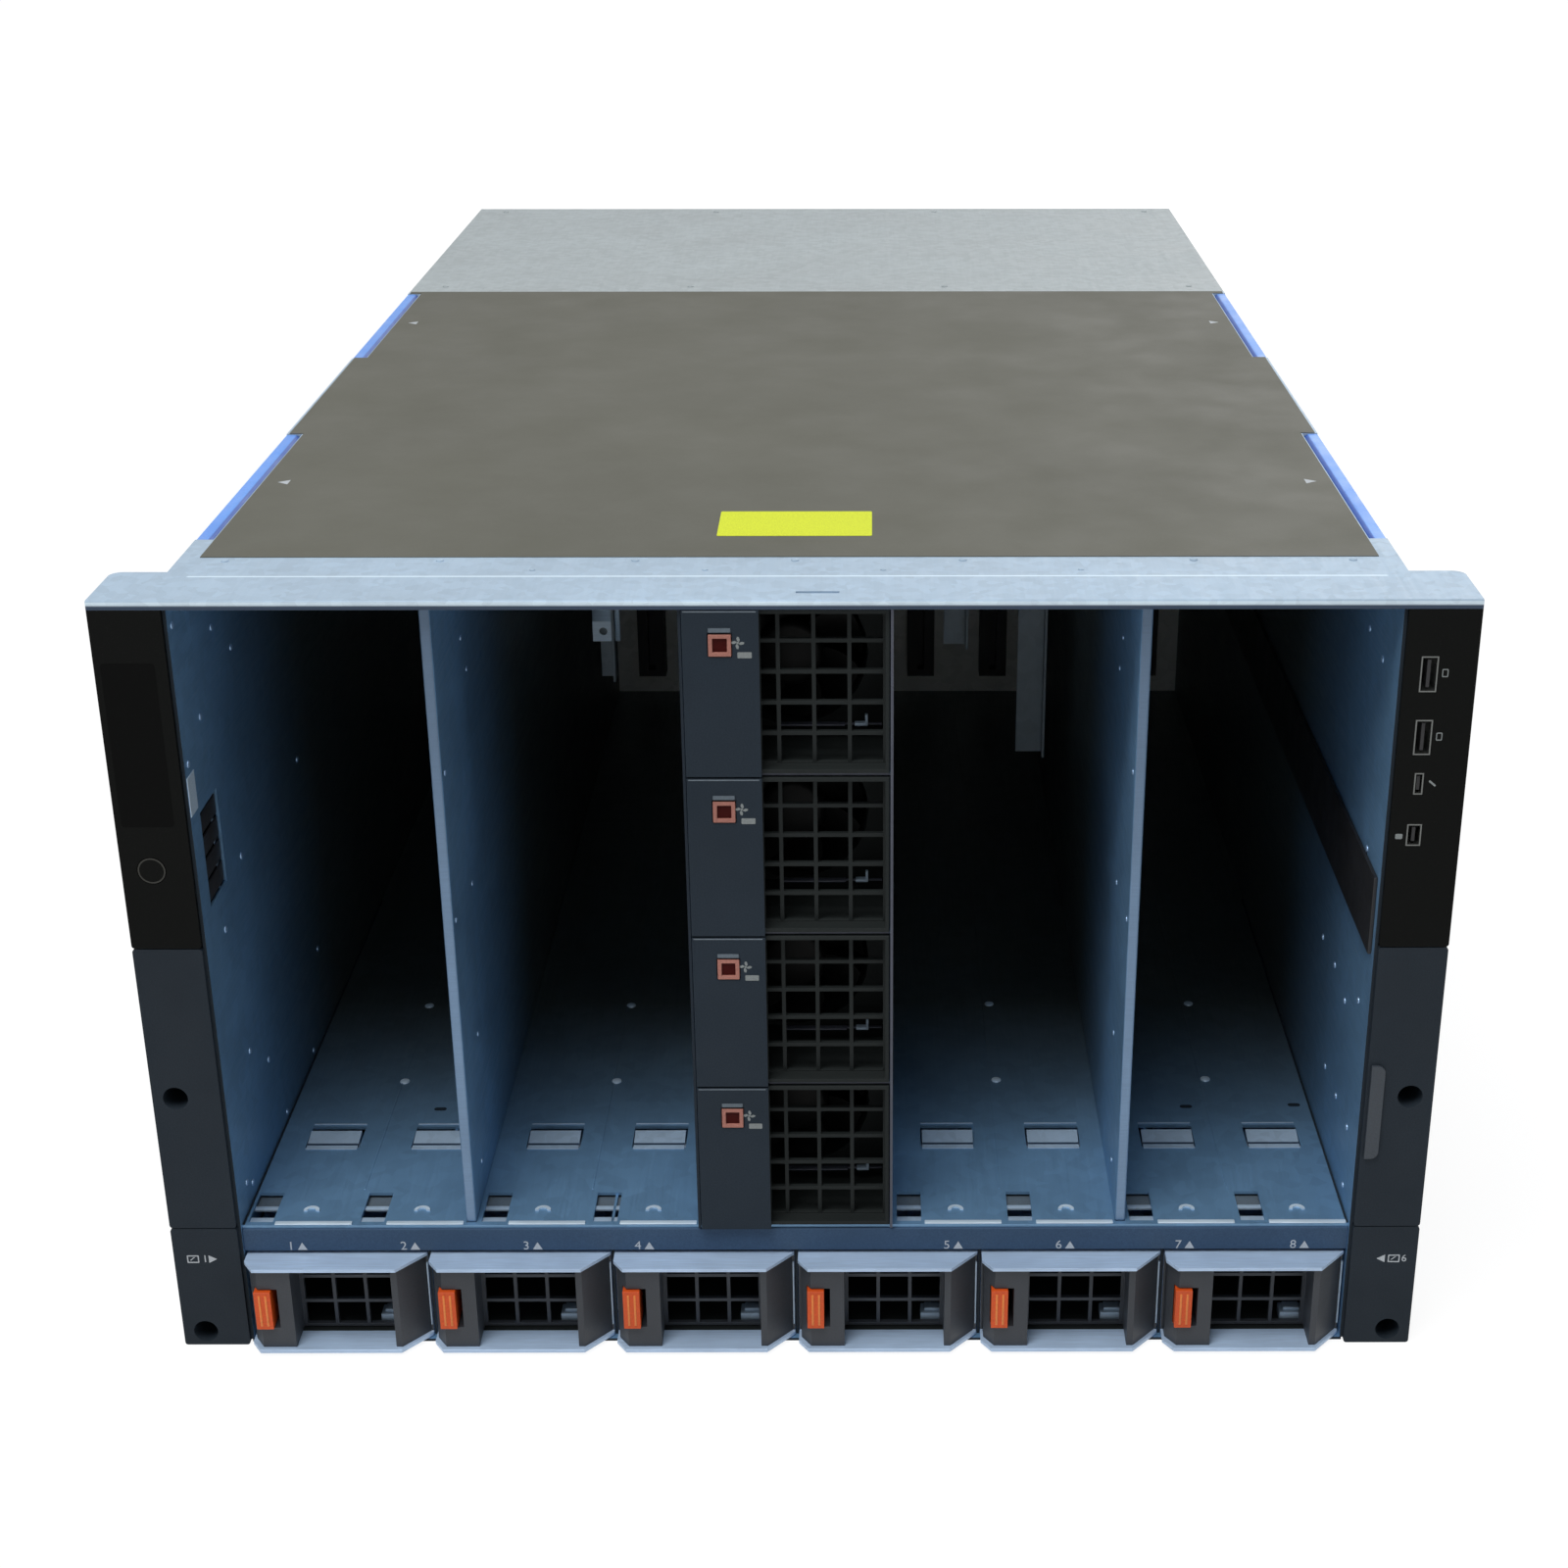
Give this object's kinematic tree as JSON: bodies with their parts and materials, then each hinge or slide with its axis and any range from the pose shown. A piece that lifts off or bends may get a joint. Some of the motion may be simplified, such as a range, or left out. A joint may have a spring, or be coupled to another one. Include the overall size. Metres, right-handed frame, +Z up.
{
  "type": "blade server chassis",
  "caption": "Rack enclosure for blade servers with open sled bays, hot-plug front fans and power supplies, rear fans, control columns on the rack ears and fold-out lift handles.",
  "frame": {"origin": "bottom centre of the box around the whole object, at the underside of the base pan", "axes": "+X to the right seen from the front, +Y from the front to the rear, +Z up"},
  "size_m": [0.4826, 0.828, 0.3074],
  "materials": {
    "galvanised_steel": "zinc-coated sheet, satin",
    "lip_steel": "pale blue-grey satin sheet",
    "dark_film": "smooth dark film, semi-matte",
    "gloss_black": "gloss black",
    "matte_black": "fine matte moulded plastic",
    "strip_plastic": "matte blue-grey plastic",
    "port_metal": "bright plated shell",
    "fan_plastic": "matte blue-black plastic",
    "rotor_plastic": "black plastic",
    "release_orange": "orange plastic",
    "latch_orange": "orange plastic",
    "psu_metal": "satin silver sheet, dark moulded bezel",
    "blue_plastic": "blue plastic, satin",
    "tag_plastic": "grey-blue plastic",
    "connector_plastic": "black plastic",
    "circuit_board": "green laminate",
    "rear_steel": "plain zinc-coated sheet"
  },
  "bodies": {
    "chassis": {"base_pan": "galvanised_steel", "left_side_wall": "galvanised_steel", "right_side_wall": "galvanised_steel", "front_top_cover": "galvanised_steel", "cover_film": "dark_film", "rear_top_cover": "galvanised_steel", "front_lip": "lip_steel", "bay_floor": "galvanised_steel", "bay_dividers": "galvanised_steel", "fan_cage": "galvanised_steel", "psu_dividers": "galvanised_steel", "slot_number_strip": "strip_plastic", "rack_ears": "galvanised_steel", "control_panel": "gloss_black", "port_panel": "gloss_black", "ear_covers": "matte_black", "port_shells": "port_metal", "connector_bulkhead": "galvanised_steel", "slot_connectors": "connector_plastic", "power_board": "circuit_board", "cable_raceway": "connector_plastic", "rear_frame": "galvanised_steel", "rear_blanks": "rear_steel", "power_inlets": "connector_plastic", "rear_fan_cases": "fan_plastic"},
    "lift_handle_front_left": {"lift_handle_front_left": "blue_plastic"},
    "lift_handle_front_right": {"lift_handle_front_right": "blue_plastic"},
    "lift_handle_rear_left": {"lift_handle_rear_left": "blue_plastic"},
    "lift_handle_rear_right": {"lift_handle_rear_right": "blue_plastic"},
    "power_button": {"power_button": "gloss_black"},
    "service_tag": {"service_tag": "tag_plastic"},
    "front_fan_1": {"front_fan_1_module": "fan_plastic"},
    "front_fan_1_button": {"front_fan_1_button": "release_orange"},
    "front_fan_1_rotor": {"front_fan_1_rotor": "rotor_plastic"},
    "front_fan_2": {"front_fan_2_module": "fan_plastic"},
    "front_fan_2_button": {"front_fan_2_button": "release_orange"},
    "front_fan_2_rotor": {"front_fan_2_rotor": "rotor_plastic"},
    "front_fan_3": {"front_fan_3_module": "fan_plastic"},
    "front_fan_3_button": {"front_fan_3_button": "release_orange"},
    "front_fan_3_rotor": {"front_fan_3_rotor": "rotor_plastic"},
    "front_fan_4": {"front_fan_4_module": "fan_plastic"},
    "front_fan_4_button": {"front_fan_4_button": "release_orange"},
    "front_fan_4_rotor": {"front_fan_4_rotor": "rotor_plastic"},
    "psu_1": {"psu_1": "psu_metal"},
    "psu_1_latch": {"psu_1_latch": "latch_orange"},
    "psu_2": {"psu_2": "psu_metal"},
    "psu_2_latch": {"psu_2_latch": "latch_orange"},
    "psu_3": {"psu_3": "psu_metal"},
    "psu_3_latch": {"psu_3_latch": "latch_orange"},
    "psu_4": {"psu_4": "psu_metal"},
    "psu_4_latch": {"psu_4_latch": "latch_orange"},
    "psu_5": {"psu_5": "psu_metal"},
    "psu_5_latch": {"psu_5_latch": "latch_orange"},
    "psu_6": {"psu_6": "psu_metal"},
    "psu_6_latch": {"psu_6_latch": "latch_orange"},
    "rear_fan_1_rotor": {"rear_fan_1_rotor": "rotor_plastic"},
    "rear_fan_2_rotor": {"rear_fan_2_rotor": "rotor_plastic"},
    "rear_fan_3_rotor": {"rear_fan_3_rotor": "rotor_plastic"},
    "rear_fan_4_rotor": {"rear_fan_4_rotor": "rotor_plastic"},
    "rear_fan_5_rotor": {"rear_fan_5_rotor": "rotor_plastic"}
  },
  "joints": [
    {"name": "lift_handle_front_left_swing", "type": "hinge", "parent": "chassis", "child": "lift_handle_front_left", "pos_m": [-0.2192, -0.251, 0.3028], "axis": [0, 1, 0], "range_deg": [0, 90]},
    {"name": "lift_handle_front_right_swing", "type": "hinge", "parent": "chassis", "child": "lift_handle_front_right", "pos_m": [0.2192, -0.251, 0.3028], "axis": [0, -1, 0], "range_deg": [0, 90]},
    {"name": "lift_handle_rear_left_swing", "type": "hinge", "parent": "chassis", "child": "lift_handle_rear_left", "pos_m": [-0.2192, 0.052, 0.3028], "axis": [0, 1, 0], "range_deg": [0, 90]},
    {"name": "lift_handle_rear_right_swing", "type": "hinge", "parent": "chassis", "child": "lift_handle_rear_right", "pos_m": [0.2192, 0.052, 0.3028], "axis": [0, -1, 0], "range_deg": [0, 90]},
    {"name": "power_button_press", "type": "slide", "parent": "chassis", "child": "power_button", "axis": [0, 1, 0], "range_m": [0, 0.0008], "stiffness_N_per_m": 400},
    {"name": "service_tag_pull", "type": "slide", "parent": "chassis", "child": "service_tag", "axis": [0, -1, 0], "range_m": [0, 0.022]},
    {"name": "front_fan_1_slide", "type": "slide", "parent": "chassis", "child": "front_fan_1", "axis": [0, -1, 0], "range_m": [0, 0.18]},
    {"name": "front_fan_1_release", "type": "slide", "parent": "front_fan_1", "child": "front_fan_1_button", "axis": [0, 1, 0], "range_m": [0, 0.002], "stiffness_N_per_m": 500},
    {"name": "front_fan_1_spin", "type": "hinge", "parent": "front_fan_1", "child": "front_fan_1_rotor", "pos_m": [0, -0.353, 0.27256], "axis": [0, 1, 0], "continuous": true},
    {"name": "front_fan_2_slide", "type": "slide", "parent": "chassis", "child": "front_fan_2", "axis": [0, -1, 0], "range_m": [0, 0.18]},
    {"name": "front_fan_2_release", "type": "slide", "parent": "front_fan_2", "child": "front_fan_2_button", "axis": [0, 1, 0], "range_m": [0, 0.002], "stiffness_N_per_m": 500},
    {"name": "front_fan_2_spin", "type": "hinge", "parent": "front_fan_2", "child": "front_fan_2_rotor", "pos_m": [0, -0.353, 0.20969], "axis": [0, 1, 0], "continuous": true},
    {"name": "front_fan_3_slide", "type": "slide", "parent": "chassis", "child": "front_fan_3", "axis": [0, -1, 0], "range_m": [0, 0.18]},
    {"name": "front_fan_3_release", "type": "slide", "parent": "front_fan_3", "child": "front_fan_3_button", "axis": [0, 1, 0], "range_m": [0, 0.002], "stiffness_N_per_m": 500},
    {"name": "front_fan_3_spin", "type": "hinge", "parent": "front_fan_3", "child": "front_fan_3_rotor", "pos_m": [0, -0.353, 0.14681], "axis": [0, 1, 0], "continuous": true},
    {"name": "front_fan_4_slide", "type": "slide", "parent": "chassis", "child": "front_fan_4", "axis": [0, -1, 0], "range_m": [0, 0.18]},
    {"name": "front_fan_4_release", "type": "slide", "parent": "front_fan_4", "child": "front_fan_4_button", "axis": [0, 1, 0], "range_m": [0, 0.002], "stiffness_N_per_m": 500},
    {"name": "front_fan_4_spin", "type": "hinge", "parent": "front_fan_4", "child": "front_fan_4_rotor", "pos_m": [0, -0.353, 0.08394], "axis": [0, 1, 0], "continuous": true},
    {"name": "psu_1_slide", "type": "slide", "parent": "chassis", "child": "psu_1", "axis": [0, -1, 0], "range_m": [0, 0.4]},
    {"name": "psu_1_latch_swing", "type": "hinge", "parent": "psu_1", "child": "psu_1_latch", "pos_m": [-0.20685, -0.401, 0.0208], "axis": [0, 0, 1], "range_deg": [0, 8], "stiffness_Nm_per_rad": 0.1},
    {"name": "psu_2_slide", "type": "slide", "parent": "chassis", "child": "psu_2", "axis": [0, -1, 0], "range_m": [0, 0.4]},
    {"name": "psu_2_latch_swing", "type": "hinge", "parent": "psu_2", "child": "psu_2_latch", "pos_m": [-0.13535, -0.401, 0.0208], "axis": [0, 0, 1], "range_deg": [0, 8], "stiffness_Nm_per_rad": 0.1},
    {"name": "psu_3_slide", "type": "slide", "parent": "chassis", "child": "psu_3", "axis": [0, -1, 0], "range_m": [0, 0.4]},
    {"name": "psu_3_latch_swing", "type": "hinge", "parent": "psu_3", "child": "psu_3_latch", "pos_m": [-0.06385, -0.401, 0.0208], "axis": [0, 0, 1], "range_deg": [0, 8], "stiffness_Nm_per_rad": 0.1},
    {"name": "psu_4_slide", "type": "slide", "parent": "chassis", "child": "psu_4", "axis": [0, -1, 0], "range_m": [0, 0.4]},
    {"name": "psu_4_latch_swing", "type": "hinge", "parent": "psu_4", "child": "psu_4_latch", "pos_m": [0.00765, -0.401, 0.0208], "axis": [0, 0, 1], "range_deg": [0, 8], "stiffness_Nm_per_rad": 0.1},
    {"name": "psu_5_slide", "type": "slide", "parent": "chassis", "child": "psu_5", "axis": [0, -1, 0], "range_m": [0, 0.4]},
    {"name": "psu_5_latch_swing", "type": "hinge", "parent": "psu_5", "child": "psu_5_latch", "pos_m": [0.07915, -0.401, 0.0208], "axis": [0, 0, 1], "range_deg": [0, 8], "stiffness_Nm_per_rad": 0.1},
    {"name": "psu_6_slide", "type": "slide", "parent": "chassis", "child": "psu_6", "axis": [0, -1, 0], "range_m": [0, 0.4]},
    {"name": "psu_6_latch_swing", "type": "hinge", "parent": "psu_6", "child": "psu_6_latch", "pos_m": [0.15065, -0.401, 0.0208], "axis": [0, 0, 1], "range_deg": [0, 8], "stiffness_Nm_per_rad": 0.1},
    {"name": "rear_fan_1_spin", "type": "hinge", "parent": "chassis", "child": "rear_fan_1_rotor", "pos_m": [-0.1712, 0.384, 0.187], "axis": [0, 1, 0], "continuous": true},
    {"name": "rear_fan_2_spin", "type": "hinge", "parent": "chassis", "child": "rear_fan_2_rotor", "pos_m": [-0.0856, 0.384, 0.187], "axis": [0, 1, 0], "continuous": true},
    {"name": "rear_fan_3_spin", "type": "hinge", "parent": "chassis", "child": "rear_fan_3_rotor", "pos_m": [0, 0.384, 0.187], "axis": [0, 1, 0], "continuous": true},
    {"name": "rear_fan_4_spin", "type": "hinge", "parent": "chassis", "child": "rear_fan_4_rotor", "pos_m": [0.0856, 0.384, 0.187], "axis": [0, 1, 0], "continuous": true},
    {"name": "rear_fan_5_spin", "type": "hinge", "parent": "chassis", "child": "rear_fan_5_rotor", "pos_m": [0.1712, 0.384, 0.187], "axis": [0, 1, 0], "continuous": true}
  ]
}
